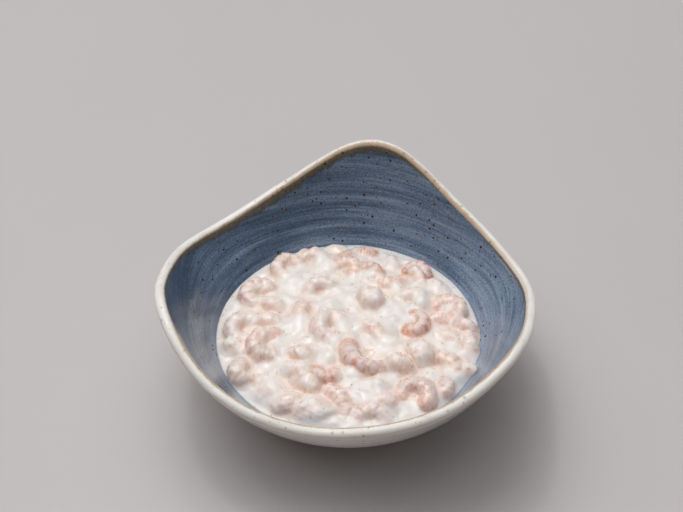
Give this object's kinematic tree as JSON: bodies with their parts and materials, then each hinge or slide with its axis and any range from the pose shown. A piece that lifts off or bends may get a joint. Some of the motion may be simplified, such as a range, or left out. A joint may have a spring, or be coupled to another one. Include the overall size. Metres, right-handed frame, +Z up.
{
  "type": "shrimp salad in a bowl",
  "caption": "Creamy shrimp salad heaped in a three-cornered stoneware bowl: a deep round bowl pulled up into rounded corners, filled to about mid-height.",
  "frame": {"origin": "centre of the outer box on the surface that the foot ring stands on; the bowl's turning axis is 0.3 mm towards +X and 3.4 mm towards -Y of it", "axes": "+Z up; the picture looks along +Y and down, and the corner that points away from it is 10 degrees off +Y towards +X"},
  "size_m": [0.1853, 0.1854, 0.0809],
  "materials": {
    "stoneware": "gloss",
    "dressed_shrimps": "satin"
  },
  "bodies": {
    "root": {"bowl": "stoneware", "salad": "dressed_shrimps"}
  },
  "joints": []
}
